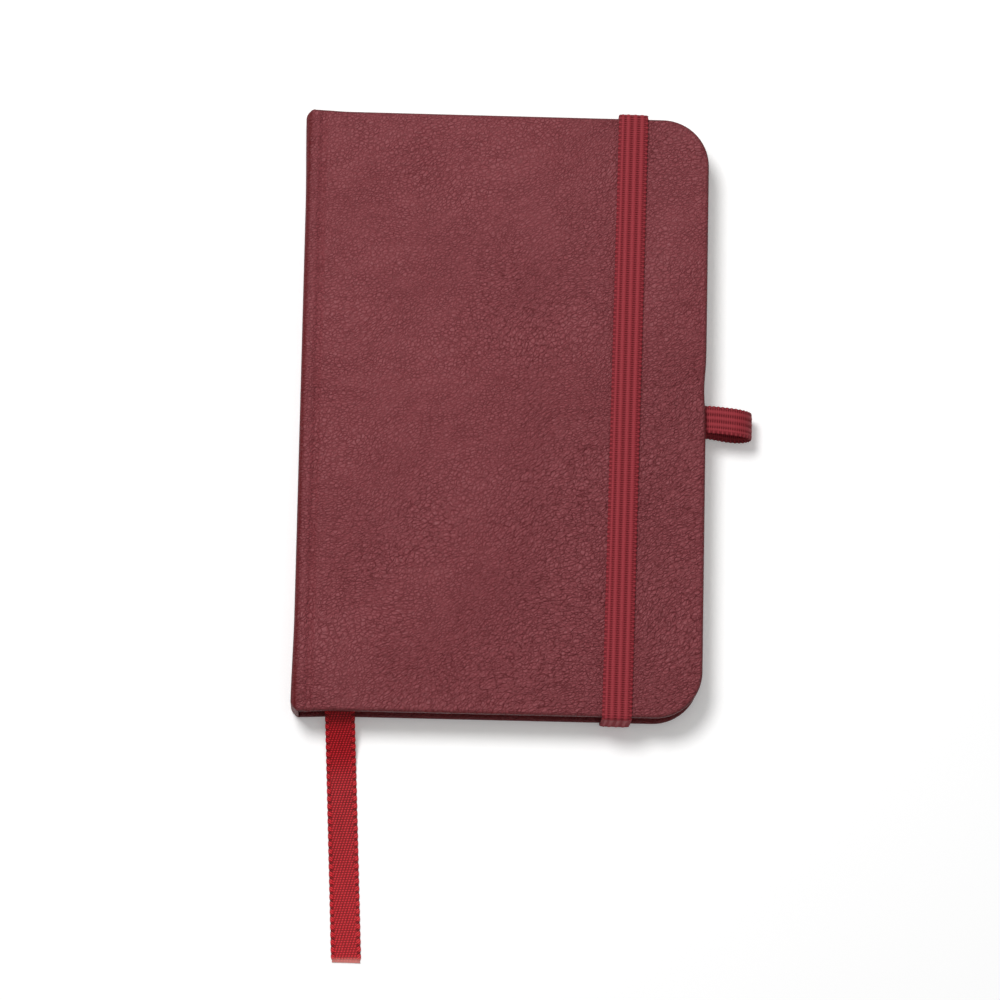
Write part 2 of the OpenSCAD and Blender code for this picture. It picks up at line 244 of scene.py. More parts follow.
class Graph:
    """A material's node tree, with short calls that return output sockets."""

    def __init__(self, name):
        self.material = bpy.data.materials.new(name)
        self.material.use_nodes = True
        self.tree = self.material.node_tree
        self.tree.nodes.clear()
        self.shader = self.node("ShaderNodeBsdfPrincipled")
        out = self.node("ShaderNodeOutputMaterial")
        self.tree.links.new(self.shader.outputs[0], out.inputs["Surface"])

    def node(self, kind, **settings):
        made = self.tree.nodes.new(kind)
        for key, value in settings.items():
            setattr(made, key, value)
        return made

    def put(self, socket, value):
        if isinstance(value, bpy.types.NodeSocket):
            self.tree.links.new(value, socket)
        else:
            socket.default_value = value

    def attribute(self, name):
        return self.node("ShaderNodeAttribute", attribute_name=name).outputs["Vector"]

    def object_mm(self):
        place = self.node("ShaderNodeTexCoord").outputs["Object"]
        return self.vector("SCALE", place, scale=1000.0)

    def math(self, operation, a, b=0.0, c=0.0, clamp=False):
        made = self.node("ShaderNodeMath", operation=operation, use_clamp=clamp)
        for socket, value in zip(made.inputs, (a, b, c)):
            self.put(socket, value)
        return made.outputs[0]

    def vector(self, operation, a, b=None, scale=None):
        made = self.node("ShaderNodeVectorMath", operation=operation)
        self.put(made.inputs[0], a)
        if b is not None:
            self.put(made.inputs[1], b)
        if scale is not None:
            self.put(made.inputs["Scale"], scale)
        return made.outputs["Value" if operation == "LENGTH" else "Vector"]

    def split(self, vector):
        return self.node_with("ShaderNodeSeparateXYZ", vector).outputs

    def node_with(self, kind, value):
        made = self.node(kind)
        self.put(made.inputs[0], value)
        return made

    def mapping(self, vector, turn=(0, 0, 0), scale=(1, 1, 1)):
        made = self.node_with("ShaderNodeMapping", vector)
        made.inputs["Rotation"].default_value = [math.radians(a) for a in turn]
        made.inputs["Scale"].default_value = scale
        return made.outputs[0]

    def noise(self, vector, scale, detail=2.0, rough=0.5, colour=False):
        made = self.node("ShaderNodeTexNoise")
        self.put(made.inputs["Vector"], vector)
        made.inputs["Scale"].default_value = scale
        made.inputs["Detail"].default_value = detail
        made.inputs["Roughness"].default_value = rough
        return made.outputs["Color" if colour else "Fac"]

    def cells(self, vector, scale, feature="DISTANCE_TO_EDGE"):
        made = self.node("ShaderNodeTexVoronoi", feature=feature)
        self.put(made.inputs["Vector"], vector)
        made.inputs["Scale"].default_value = scale
        return made.outputs["Distance"]

    def ramp(self, value, low, high, out_low=0.0, out_high=1.0):
        """Smooth step of value from low to high, onto out_low to out_high."""
        made = self.node("ShaderNodeMapRange", interpolation_type="SMOOTHSTEP")
        for socket, v in zip(made.inputs, (value, low, high, out_low, out_high)):
            self.put(socket, v)
        return made.outputs[0]

    def wave(self, value, pitch, shift=0.0):
        """0 to 1 and back over each pitch, 1 at shift."""
        angle = self.math("MULTIPLY_ADD", value, 2 * math.pi / pitch, -2 * math.pi * shift / pitch)
        return self.math("MULTIPLY_ADD", self.math("COSINE", angle), 0.5, 0.5)

    def blend(self, factor, a, b):
        made = self.node("ShaderNodeMix", data_type="RGBA")
        self.put(made.inputs[0], factor)
        self.put(made.inputs[6], a)
        self.put(made.inputs[7], b)
        return made.outputs[2]

    def bump(self, height, distance_mm, strength):
        made = self.node("ShaderNodeBump")
        made.inputs["Strength"].default_value = strength
        made.inputs["Distance"].default_value = distance_mm * MM
        self.put(made.inputs["Height"], height)
        return made.outputs[0]

    def finish(self, colour, roughness, normal=None, **sockets):
        self.put(self.shader.inputs["Base Color"], colour)
        self.put(self.shader.inputs["Roughness"], roughness)
        if normal is not None:
            self.put(self.shader.inputs["Normal"], normal)
        for key, value in sockets.items():
            self.shader.inputs[key.replace("_", " ")].default_value = value
        return self.material


def srgb(r, g, b):
    """A colour as it is seen, 0 to 255, in the linear numbers that nodes take."""
    def linear(c):
        c = c / 255
        return c / 12.92 if c <= 0.04045 else ((c + 0.055) / 1.055) ** 2.4
    return (linear(r), linear(g), linear(b), 1.0)


# ---------------------------------------------------------------- materials

def leather_finish():
    """Matt grained leather: domed pebbles parted by fine lines, longer creases along a slant,
    painted shade in the lines and creases, and deeper painted shade over the edges and turn-ins."""
    g = Graph("cover_leather")
    place = g.attribute("rest_mm")
    middle = (0.5, 0.5, 0.5)
    drift = g.vector("SUBTRACT", g.noise(place, 0.035, 1.0, 0.5, colour=True), middle)
    shiver = g.vector("SUBTRACT", g.noise(place, 0.7, 1.5, 0.5, colour=True), middle)
    swept = g.vector("ADD", place, g.vector("SCALE", drift, scale=9.0))
    swept = g.vector("ADD", swept, shiver)
    slant = g.mapping(swept, turn=(0, 0, GRAIN_TURN))
    grain = g.mapping(slant, scale=(0.52, 1.0, 1.0))
    long_grain = g.mapping(slant, scale=(0.26, 1.0, 1.0))
    at = g.split(place)
    # more creases, and with them more painted shade, towards the tail and the fore edge
    to_tail = g.math("MULTIPLY_ADD", at[1], -0.0028, g.math("MULTIPLY", at[0], 0.0028))
    wear_and_crease_shade = g.ramp(g.math("ADD", g.noise(place, 0.045, 2.0, 0.5), to_tail), 0.25, 0.75)

    def domes(vector, scale):
        away = g.cells(vector, scale, feature="F1")
        return g.math("MULTIPLY_ADD", g.math("MULTIPLY", away, away), -1.5, 1.0)

    def lines(vector, scale, width):
        return g.ramp(g.cells(vector, scale), 0.0, width, 1.0, 0.0)

    patches = g.ramp(g.noise(grain, 0.30, 3.0, 0.6), 0.35, 0.65)
    fine = g.math("MULTIPLY", lines(grain, PEBBLES, 0.17),
                  g.math("MULTIPLY_ADD", patches, 0.35, 0.65))
    crease = g.math("MULTIPLY", lines(long_grain, CREASES, 0.13),
                    g.math("MULTIPLY", wear_and_crease_shade, g.math("MULTIPLY_ADD", patches, -0.5, 1.0)))
    height = g.math("MULTIPLY", domes(grain, PEBBLES), g.math("MULTIPLY_ADD", wear_and_crease_shade, 0.18, 0.34))
    height = g.math("MULTIPLY_ADD", domes(grain, 3.4), 0.22, height)
    height = g.math("MULTIPLY_ADD", g.noise(grain, 3.5, 1.0, 0.5), 0.16, height)
    height = g.math("MULTIPLY_ADD", fine, -0.26, height)
    height = g.math("MULTIPLY_ADD", crease, -0.16, height)
    height = g.math("MULTIPLY_ADD", g.noise(place, 9.0, 1.0, 0.5), 0.05, height)
    normal = g.bump(height, 0.30, 1.0)

    broad = g.noise(place, 0.03, 3.0, 0.5)
    base = g.blend(g.ramp(broad, 0.35, 0.65), srgb(132, 60, 66), srgb(134, 63, 69))
    # painted shade: the fine lines and the creases are coloured darker, as shade in the grain's
    # hollows
    dark = g.math("MULTIPLY_ADD", crease, 0.58, g.math("MULTIPLY", fine, 0.54), clamp=True)
    base = g.blend(dark, base, srgb(80, 17, 22))
    # painted shade: a deep dark red on the rolled edges and the turn-ins, which the light reaches less
    deep = g.split(g.attribute("roll"))[0]
    base = g.blend(g.math("MULTIPLY", deep, 0.9), base, srgb(88, 2, 10))
    rough = g.math("MULTIPLY_ADD", dark, 0.18, g.math("MULTIPLY_ADD", broad, 0.08, 0.42))
    return g.finish(base, rough, normal, Specular_IOR_Level=0.22)


def elastic_finish():
    """Woven elastic: smooth ribs along it, ladder-like weft between them, looped edges."""
    g = Graph("elastic_weave")
    band = g.split(g.attribute("band_mm"))
    across, along, lift = band[0], band[1], band[2]
    thread = g.noise(g.mapping(g.attribute("band_mm"), scale=(5.0, 1.6, 0.0)), 1.0, 3.0, 0.6)
    rungs = g.math("MULTIPLY_ADD", g.wave(along, RUNG_PITCH), 0.25, -0.12)
    # painted shade in the valleys between the ribs and painted light on the ribs' tops, from the
    # weave's height
    tone = g.math("ADD", lift, g.math("MULTIPLY_ADD", thread, 0.5, -0.25))
    tone = g.math("ADD", tone, rungs, clamp=True)
    colour = g.blend(tone, srgb(70, 3, 12), srgb(156, 54, 62))
    strand = g.wave(across, 0.2)
    height = g.math("MULTIPLY_ADD", strand, 0.3, g.math("MULTIPLY", thread, 0.9))
    rough = g.math("MULTIPLY_ADD", tone, -0.16, 0.76)
    return g.finish(colour, rough, g.bump(height, 0.05, 0.6), Sheen_Weight=0.03,
                    Sheen_Roughness=0.4, Specular_IOR_Level=0.12)


def ribbon_finish(end_at):
    """Satin ribbon: fine diagonal rows of floats, corded selvedges, a heat-sealed pale end."""
    g = Graph("ribbon_satin")
    band = g.split(g.attribute("band_mm"))
    across, along = band[0], band[1]
    rows = g.wave(along, 0.56)
    lean = g.math("MULTIPLY_ADD", along, 0.35, across)
    columns = g.wave(lean, 0.70)
    floats = g.math("MULTIPLY", rows, columns)
    side = g.math("ABSOLUTE", across)
    selvedge = g.ramp(side, 2.45, 2.75)
    twist = g.wave(g.math("MULTIPLY_ADD", side, 0.8, along), 0.58)
    pattern = g.math("ADD", g.math("MULTIPLY", floats, g.math("SUBTRACT", 1.0, selvedge)),
                     g.math("MULTIPLY", twist, selvedge))
    gap = g.math("MULTIPLY", g.ramp(g.wave(along, SELVEDGE_PITCH, 1.52), 0.45, 0.95), selvedge)
    pattern = g.math("MULTIPLY_ADD", gap, -0.65, pattern)
    streak = g.noise(g.mapping(g.attribute("band_mm"), scale=(3.0, 0.15, 0.0)), 1.0, 3.0, 0.6)
    tone = g.math("ADD", g.math("MULTIPLY", pattern, 0.90), g.math("MULTIPLY_ADD", streak, 0.5, -0.14))
    # painted light: the ribbon a little lighter towards its free end, away from the book's shade
    tone = g.math("ADD", tone, g.ramp(along, end_at * 0.35, end_at, 0.0, 0.10))
    tone = g.math("MULTIPLY", tone, g.ramp(band[2], 0.0, 1.0, 0.55, 1.0), clamp=True)
    colour = g.blend(tone, srgb(80, 0, 2), srgb(234, 42, 54))
    sealed = g.math("ADD", along, g.math("MULTIPLY_ADD", streak, 1.2, -0.6))
    sealed = g.ramp(sealed, end_at - 1.5, end_at - 0.2)
    colour = g.blend(g.math("MULTIPLY", sealed, 0.8), colour, srgb(214, 132, 124))
    rough = g.math("MULTIPLY_ADD", tone, -0.20, 0.60)
    return g.finish(colour, rough, g.bump(pattern, 0.05, 0.7), Sheen_Weight=0.02,
                    Sheen_Roughness=0.35, Specular_IOR_Level=0.15)


def paper_finish(name, warm, ruled):
    """Uncoated paper with fibres; ruled pages carry a plain light rule on their faces."""
    g = Graph(name)
    place = g.object_mm()
    fibre = g.noise(place, 1.6, 5.0, 0.65)
    cloud = g.noise(place, 0.05, 2.0, 0.5)
    tone = g.math("MULTIPLY_ADD", fibre, 0.6, g.math("MULTIPLY", cloud, 0.5))
    colour = g.blend(g.ramp(tone, 0.3, 0.8), srgb(*warm[0]), srgb(*warm[1]))
    if ruled:
        at = g.split(place)
        upright = g.split(g.node("ShaderNodeTexCoord").outputs["Normal"])[2]
        face = g.ramp(g.math("ABSOLUTE", upright), 0.8, 0.95)
        line = g.ramp(g.wave(at[1], 6.5), 0.9945, 0.9985)
        inside = g.ramp(g.math("ABSOLUTE", at[1]), 55.0, 55.3, 1.0, 0.0)
        line = g.math("MULTIPLY", g.math("MULTIPLY", line, inside), face)
        colour = g.blend(g.math("MULTIPLY", line, 0.65), colour, srgb(166, 160, 158))
    rough = g.math("MULTIPLY_ADD", fibre, 0.14, 0.78)
    return g.finish(colour, rough, g.bump(fibre, 0.02, 0.5), Specular_IOR_Level=0.2)


def board_finish():
    g = Graph("grey_board")
    place = g.object_mm()
    speck = g.noise(place, 1.2, 5.0, 0.7)
    layers = g.wave(g.split(place)[2], 0.2)
    tone = g.math("MULTIPLY_ADD", layers, 0.15, speck)
    colour = g.blend(g.ramp(tone, 0.35, 0.8), srgb(120, 116, 108), srgb(160, 154, 143))
    rough = g.math("MULTIPLY_ADD", speck, 0.12, 0.84)
    return g.finish(colour, rough, g.bump(tone, 0.04, 0.7), Specular_IOR_Level=0.2)


def cloth_finish(name, dark, light, pitch):
    """Open plain weave, for the lining cloth and the sewing thread."""
    g = Graph(name)
    at = g.split(g.object_mm())
    weave = g.math("MULTIPLY", g.wave(at[1], pitch), g.wave(at[2], pitch))
    slub = g.noise(g.object_mm(), 3.0, 3.0, 0.6)
    tone = g.math("ADD", g.math("MULTIPLY", weave, 0.6), g.math("MULTIPLY", slub, 0.5))
    rough = g.math("MULTIPLY_ADD", slub, 0.12, 0.79)
    return g.finish(g.blend(tone, srgb(*dark), srgb(*light)), rough,
                    g.bump(weave, 0.05, 0.6), Sheen_Weight=0.1)


# ---------------------------------------------------------------- leather covers and spine

def fold_path(depth, roll_out=ROLL_OUT, roll_in=ROLL_IN):
    """Leather folded round a board's edge, from the outer face to the end of the turn-in.
    Each entry: inset, depth, the normal's outward and facing parts, thickness."""
    path = [(d, 0, 0, 1, SKIN_T) for d in (2.2, 1.6, 1.2, roll_out)]
    for angle in range(12, 91, 13):
        s, c = math.sin(math.radians(angle)), math.cos(math.radians(angle))
        path.append((roll_out * (1 - s), roll_out * (1 - c), s, c, SKIN_T))
    if depth - roll_in > roll_out + 0.01:
        path.append((0, depth - roll_in, 1, 0, SKIN_T))
    for angle in range(15, 91, 15):
        s, c = math.sin(math.radians(angle)), math.cos(math.radians(angle))
        thick = SKIN_T + (FLAP_T - SKIN_T) * angle / 90
        path.append((roll_in * (1 - c), depth - roll_in * (1 - s), c, -s, thick))
    path += [(d, depth, 0, -1, FLAP_T) for d in (1.4, 2.4, 4.0, 6.5, 9.0, FLAP_W)]
    return path


def hinge_relief(x):
    """How far the leather dips into the hinge groove, and stands up beside it."""
    groove = 0.50 * bell(x, GROOVE_X, 0.85)
    return groove - 0.05 * bell(x, SEAM_X, 0.8) - 0.06 * bell(x, GROOVE_X + 1.8, 0.9)


def unevenness(x, y, seed):
    fade = smoothstep(-44, -40, x)
    return fade * (0.045 * soft_noise(x, y, 17, seed) + 0.02 * soft_noise(x, y, 5, seed + 3))


class Cover:
    """Leather skin of one cover: a grid on the flat face, rings round the edge, and the turn-in."""

    def __init__(self, node, side, columns, rows):
        self.lo, self.hi = span(node)
        self.side = side
        self.columns = np.asarray(columns, float)
        self.rows = np.asarray(rows, float)
        self.turns = np.radians(np.arange(6, 90, 6))

    def corner(self, inset):
        """Centre and radius of the fore corners of the outline at an inset."""
        radius = max(CORNER_R - inset, 0.6)
        return self.hi[0] - inset - radius, self.hi[1] - inset - radius, radius

    def fit(self, end):
        """The columns, with those past the fixed part drawn to end at end."""
        far = np.maximum(self.columns - FIXED_X, 0)
        return np.minimum(self.columns, FIXED_X) + far * (end - FIXED_X) / far[-1]

    def row_ends(self, inset):
        """The y of each row and the x where it ends, at the tail first."""
        cx, cy, r = self.corner(inset)
        low = [(-(cy + r), cx)] + [(-(cy + r * math.cos(a)), cx + r * math.sin(a)) for a in self.turns]
        mid = [(cy * v, cx + r) for v in self.rows]
        return np.array(low + mid + [(-y, x) for y, x in reversed(low)])

    def outline(self, inset):
        """Points of one ring, from the spine at the tail round the fore edge to the head."""
        cx, cy, r = self.corner(inset)
        along = self.fit(cx)
        ends = self.row_ends(inset)[1:-1]
        tail = np.stack([along, np.full_like(along, -(cy + r))], 1)
        head = np.stack([along[::-1], np.full_like(along, cy + r)], 1)
        return np.vstack([tail, ends[:, ::-1], head])

    def outward(self):
        """Outward direction at each point of a ring."""
        n, turns = len(self.columns), self.turns
        low = np.stack([np.sin(turns), -np.cos(turns)], 1)
        mid = np.tile([1.0, 0.0], (len(self.rows), 1))
        high = low[::-1] * [1, -1]
        return np.vstack([np.tile([0.0, -1.0], (n, 1)), low, mid, high, np.tile([0.0, 1.0], (n, 1))])

    def build(self, relief, shift, channel):
        """Outer points, their inner twins and the faces."""
        depth = self.hi[2] - self.lo[2]
        ends = self.row_ends(INSET)
        columns, rows = len(self.columns), len(ends)
        x = np.array([self.fit(end) for _, end in ends])
        y = np.repeat(ends[:, :1], columns, 1)
        flat = np.stack([x, y], -1).reshape(-1, 2)
        ids = np.arange(rows * columns).reshape(rows, columns)
        edge = np.concatenate([ids[0], ids[1:-1, -1], ids[-1][::-1]])
        plan, w = [flat], [np.zeros(len(flat))]
        out, face = [np.zeros((len(flat), 2))], [np.ones(len(flat))]
        thick, faces = [np.full(len(flat), SKIN_T)], grid_faces(ids.T)
        last, count = edge, len(flat)
        for inset, deep, outer, facing, t in fold_path(depth):
            ring = self.outline(inset)
            here = count + np.arange(len(ring))
            faces += grid_faces(np.stack([last, here]))
            plan.append(ring)
            w.append(np.full(len(ring), float(deep)))
            out.append(self.outward() * outer)
            face.append(np.full(len(ring), float(facing)))
            thick.append(np.full(len(ring), t))
            last, count = here, count + len(ring)
        plan, w, out = np.vstack(plan), np.concatenate(w), np.vstack(out)
        face, thick = np.concatenate(face), np.concatenate(thick)
        dip = relief(plan[:, 0], plan[:, 1]) * np.clip(face, 0, 1)
        cut = channel(plan[:, 0], plan[:, 1])
        # painted shade: from 0 on the flat face up to 1 over the rolled edge, the edge face and the
        # turn-in
        self.roll = np.tile(np.clip(EDGE_SHADE_REACH * (1 - face), 0, 1), 2)
        outer_w = np.maximum(w + dip, cut)
        inner_w = np.maximum(w + dip + face * thick, np.minimum(cut + 0.2, depth - 0.05) * (cut > 0))
        moved = plan + shift(plan[:, 0], plan[:, 1])
        outer = self.place(moved, outer_w)
        inner = self.place(moved - out * thick[:, None], inner_w)
        if self.side < 0:
            faces = [f[::-1] for f in faces]
        return close_shell(outer, inner, faces)

    def place(self, plan, w):
        z = self.hi[2] - w if self.side > 0 else self.lo[2] + w
        return np.column_stack([plan, z])


def spine_flare(x, y):
    """The leather at the hinge stands a little past the covers at head and tail."""
    grow = 0.32 * smoothstep(-37, -46, x) * smoothstep(60, HALF_H, np.abs(y))
    return np.sign(y) * grow


def front_shift(x, y):
    """Small departures of the front cover's outline: spine flare, and a pull by the pen loop."""
    pull = 0.42 * bell(y, 6.5, 5.0) * smoothstep(38, 47.5, x)
    return np.stack([-pull, spine_flare(x, y)], -1)


def back_shift(x, y):
    return np.stack([np.zeros_like(x), spine_flare(x, y)], -1)


def no_channel(x, y):
    return np.zeros_like(x)


def band_channel(x, y):
    """Depth of the sunk ways of the elastic in the back cover, and of its two slots."""
    across = (x - BAND_X) * math.cos(BAND_TURN) + y * math.sin(BAND_TURN)
    inside = smoothstep(WAY_HALF + 0.25, WAY_HALF, np.abs(across))
    run = smoothstep(SLOT_Y[0] - 0.3, SLOT_Y[0], np.abs(y))
    slot = run * smoothstep(SLOT_Y[1] + 0.25, SLOT_Y[1], np.abs(y))
    return inside * (1.0 * run + 0.9 * slot)


def front_relief(x, y):
    return hinge_relief(x) + unevenness(x, y, 1.7)


def back_relief(x, y):
    """As on the front, with nothing lower than the face that the book lies on."""
    return np.maximum(hinge_relief(x) + unevenness(x, y, 8.2), 0)


def cover_piece(name, cover, shape, finish):
    """The leather of one cover, from its grid and its relief, outline and channel."""
    points, faces = cover.build(*shape)
    roll = as_vectors(cover.roll)
    return make_piece(name, points, faces, finish, "cover_skin", roll=roll)


def make_front_cover(finish):
    columns = np.unique(np.concatenate([
        np.arange(SEAM_X, -40.01, 0.18), np.arange(-40, 33.9, 0.74),
        np.linspace(FIXED_X, FORE_X, 17)]))
    cover = Cover("front_cover_skin", 1, columns, np.linspace(-1, 1, 171))
    shape = (front_relief, front_shift, no_channel)
    piece = cover_piece("front_cover_leather", cover, shape, finish)
    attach(piece, "front_cover")
    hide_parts("front_cover_skin")


def make_back_cover(finish):
    """The back cover, its grid closer at the elastic's ways and slots."""
    columns = np.unique(np.concatenate([
        np.arange(SEAM_X, -40.01, 0.18), np.linspace(-40, 24, 70), np.linspace(24, 25.6, 9),
        np.linspace(25.6, 31.7, 8), np.linspace(31.7, 33.4, 9), np.linspace(33.4, FORE_X, 14)]))
    close = np.array([61.1, 61.3, 61.5, 61.7, 62])
    rows = np.concatenate([-close[::-1], np.linspace(-60.8, 60.8, 151), close])
    cover = Cover("back_cover_skin", -1, columns, rows / close[-1])
    shape = (back_relief, back_shift, band_channel)
    piece = cover_piece("back_cover_leather", cover, shape, finish)
    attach(piece, "back_cover")
    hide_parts("back_cover_skin")


def round_ends(x, y):
    """Plan corners at the spine's head and tail, drawn in to a round."""
    across = (HINGE_X - HINGE_R + END_R - x) / END_R
    past = (abs(y) - (HALF_H - END_R)) / END_R
    if across <= 0 or past <= 0:
        return x, y
    over = across * (1 - math.sqrt(1 - past ** 2 / 2))
    back = past * (1 - math.sqrt(1 - across ** 2 / 2))
    return x + over * END_R, y - math.copysign(back * END_R, y)


def spine_waist(y):
    return WAIST * (1 - smoothstep(48, 70, np.abs(y)))


def wrap_strip(profile, depth, half_h):
    """Leather over the spine or a hinge: a section in x and z, run from tail to head and folded in.
    Each entry of the section: x, z and the outward normal's x and z."""
    path = fold_path(depth, min(ROLL_OUT, depth - 0.3), min(0.3, depth / 3))
    tail = [(-half_h + d, w, -out, face, t) for d, w, out, face, t in reversed(path)]
    middle = [(y, 0, 0, 1, SKIN_T) for y in np.linspace(-half_h + INSET, half_h - INSET, 90)]
    head = [(half_h - d, w, out, face, t) for d, w, out, face, t in path]
    outer, inner, roll = [], [], []
    for y, w, out, face, t in tail + middle + head:
        for x, z, nx, nz in profile:
            outward = max(0.0, face)
            give = float(spine_waist(y)) * max(0.0, -nx)
            dip = float(hinge_relief(x)) * max(0.0, abs(nz) - 0.5) * 2 * outward
            dip = max(dip, 0.0) if nz < 0 else dip
            point = np.array([x - nx * (w + give + dip), y + float(spine_flare(x, y)),
                              z - nz * (w + dip)])
            normal = np.array([nx * face, out, nz * face])
            under = point - normal * (t - give * 0.8 * outward)
            outer.append([*round_ends(point[0], point[1]), point[2]])
            inner.append([*round_ends(under[0], under[1]), under[2]])
            # painted shade: on the rolled edges and the turn-ins, and in a strip along the round of
            # the hinge
            edge = min(1.0, EDGE_SHADE_REACH * (1 - abs(nz) * outward))
            roll.append(max(edge, float(bell(x, HINGE_X - 0.3, 0.6))))
    ids = np.arange(len(outer)).reshape(-1, len(profile))
    points, faces = close_shell(np.array(outer), np.array(inner), grid_faces(ids))
    return points, faces, as_vectors(roll + roll)


def hinge_section(z_axis, up):
    """Quarter round about a hinge axis, then the flat that meets the cover."""
    section = []
    for angle in range(0, 91, 10):
        c, s = math.cos(math.radians(angle)), math.sin(math.radians(angle))
        section.append((HINGE_X - HINGE_R * c, z_axis + up * HINGE_R * s, -c, up * s))
    end = span("front_joint_skin")[1][0]
    for x in np.linspace(HINGE_X, end, 6)[1:]:
        section.append((x, z_axis + up * HINGE_R, 0.0, float(up)))
    return section


def make_spine(finish):
    lo, hi = span("spine_skin")
    section = [(lo[0], z, -1.0, 0.0) for z in np.linspace(lo[2], hi[2], 16)]
    points, faces, roll = wrap_strip(section, hi[0] - lo[0], hi[1])
    piece = make_piece("spine_leather", points, faces, finish, "cover_skin", roll=roll)
    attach(piece, "spine")
    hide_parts("spine_skin")


def make_hinge(name, node, up, finish):
    lo, hi = span(node)
    z_axis = lo[2] if up > 0 else hi[2]
    section = hinge_section(z_axis, up)
    points, faces, roll = wrap_strip(section if up > 0 else section[::-1], 1.0, hi[1])
    piece = make_piece(name, points, faces, finish, "cover_skin", roll=roll)
    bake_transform(piece)
    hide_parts(node)


# ---------------------------------------------------------------- pages

def sheet_section(fore, back, middle, radius, thick):
    """Section of one folded sheet in x and z: outer path, then the inner path back."""
    turns = np.radians(np.linspace(90, 270, 9))
    outer = [(fore, middle + radius)] + [
        (back + radius * math.cos(a), middle + radius * math.sin(a)) for a in turns] + [
        (fore, middle - radius)]
    inside = radius - thick
    inner = [(fore, middle + inside)] + [
        (back + inside * math.cos(a), middle + inside * math.sin(a)) for a in turns] + [
        (fore, middle - inside)]
    return np.array(outer + inner[::-1])


def make_signature(node, body, finish, rng):
    """Nested folded sheets with rounded fore corners, each trimmed a hair differently."""
    lo, hi = span(node)
    leaf = (hi[2] - lo[2]) / (2 * SHEETS)
    fold = lo[0] + leaf * SHEETS
    turns = np.radians(np.linspace(90, 0, 8))
    points, faces = [], []
    for k in range(SHEETS):
        trim = rng.uniform(0, 0.14)
        ends = rng.uniform(0, 0.10)
        half_h, fore = hi[1] - ends, hi[0] - trim
        r = PAGE_CORNER_R
        low = [(-(half_h - r + r * math.sin(a)), fore - r + r * math.cos(a)) for a in turns]
        rows = low + [(y, fore) for y in np.linspace(-40, 40, 5)] + [(-y, x) for y, x in reversed(low)]
        thick = leaf * rng.uniform(0.72, 0.9)
        first = len(points)
        for y, edge in rows:
            section = sheet_section(edge, fold, (lo[2] + hi[2]) / 2, leaf * (SHEETS - k), thick)
            points += [(x, y, z) for x, z in section]
        around = len(section)
        ids = first + np.arange(len(rows) * around).reshape(len(rows), around)
        faces += grid_faces(np.hstack([ids, ids[:, :1]]))
        half = around // 2
        for row, turn in ((ids[0], 1), (ids[-1], -1)):
            cap = [[row[m], row[m + 1], row[-m - 2], row[-m - 1]][::turn] for m in range(half - 1)]
            faces += [[int(v) for v in quad] for quad in cap]
    piece = make_piece("leaves_" + node[-2:], points, faces, finish, "page_paper", sharp=30)
    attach(piece, body)
    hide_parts(node)


# ---------------------------------------------------------------- woven bands

RIBS = ((-2.5, 0.42), (-1.2, 0.62), (0.42, 0.62), (2.02, 0.62))


def rib_height(u, width):
    """0 in the valleys to 1 on the ribs, for a place across the band."""
    scale = BAND_W / width
    height = np.zeros_like(u)
    for middle, half in RIBS:
        height = np.maximum(height, np.clip(1 - ((u * scale - middle) / half) ** 2, 0, 1) ** 0.6)
    return height


def elastic_lift(u, s, width):
    """Weave of the elastic at a place across and along: 0 at the bottom of the valleys to 1."""
    rung = 0.5 + 0.5 * np.cos(2 * np.pi * s / RUNG_PITCH)
    picot = 0.5 + 0.5 * np.cos(2 * np.pi * s / PICOT_PITCH)
    rib = rib_height(u, width)
    edge = smoothstep(0.80, 0.86, np.abs(u) / (width / 2))
    valley = 0.18 + 0.55 * rung
    looped = 0.3 + 0.55 * picot
    plain = np.maximum(rib * (0.9 + 0.1 * rung), valley)
    return plain * (1 - edge) + looped * edge


def edge_reach(s, width):
    """Half width of the elastic, with its loops standing out."""
    picot = 0.5 + 0.5 * np.cos(2 * np.pi * s / PICOT_PITCH)
    return width / 2 - 0.15 + 0.15 * picot ** 0.7


def sweep_band(centre, up, across, s, width, thick, samples=44):
    """Elastic along a line: points, faces and the place on the band of each point.
    centre, up and across have a row for each step; up points to the better-seen side."""
    u = np.linspace(-1, 1, samples)
    under = np.linspace(1, -1, samples // 3)[1:-1]
    shape = np.concatenate([u, under])
    face = np.concatenate([np.ones(len(u)), -np.ones(len(under))])
    body = 0.77 * width / 2
    taper = 0.25 + 0.75 * np.sqrt(np.clip(1 - np.abs(shape) ** 7, 0.0, 1))
    points, place = [], []
    for c, n, b, at in zip(centre, up, across, s):
        x = shape * width / 2
        lift = elastic_lift(x, at, width)
        h = (thick / 2) * (0.3 + 0.7 * lift) * taper
        h = np.where(face > 0, h, -(thick / 2) * 0.8 * taper)
        side = np.abs(x)
        drawn = body + (side - body) * (edge_reach(at, width) - body) / (0.23 * width / 2)
        x = np.sign(x) * np.where(side > body, drawn, side)
        points.append(c + x[:, None] * b + h[:, None] * n)
        place.append(np.stack([x * BAND_W / width, np.full_like(x, at), lift], 1))
    faces = tube_faces(len(centre), len(shape))
    return np.vstack(points), faces, np.vstack(place)


def frame_along(line):
    """Tangent of each point of a line that lies in one plane."""
    run = np.gradient(line, axis=0)
    return run / np.linalg.norm(run, axis=1)[:, None]


def band_line():
    """The elastic's line in its own y and z: pocket, slot, back, leg and front, head end last."""
    front = span("elastic_strap")[1][2] - BAND_T / 2
    leg = HALF_H + 0.6
    back = 0.5
    half = [(52.0, 1.55), (61.35, 1.55), (62.15, back), (leg, back), (leg, front), (0.0, front)]
    tail = [(-y, z) for y, z in half]
    return rounded(tail[:-1] + half[::-1][1:], 0.95)


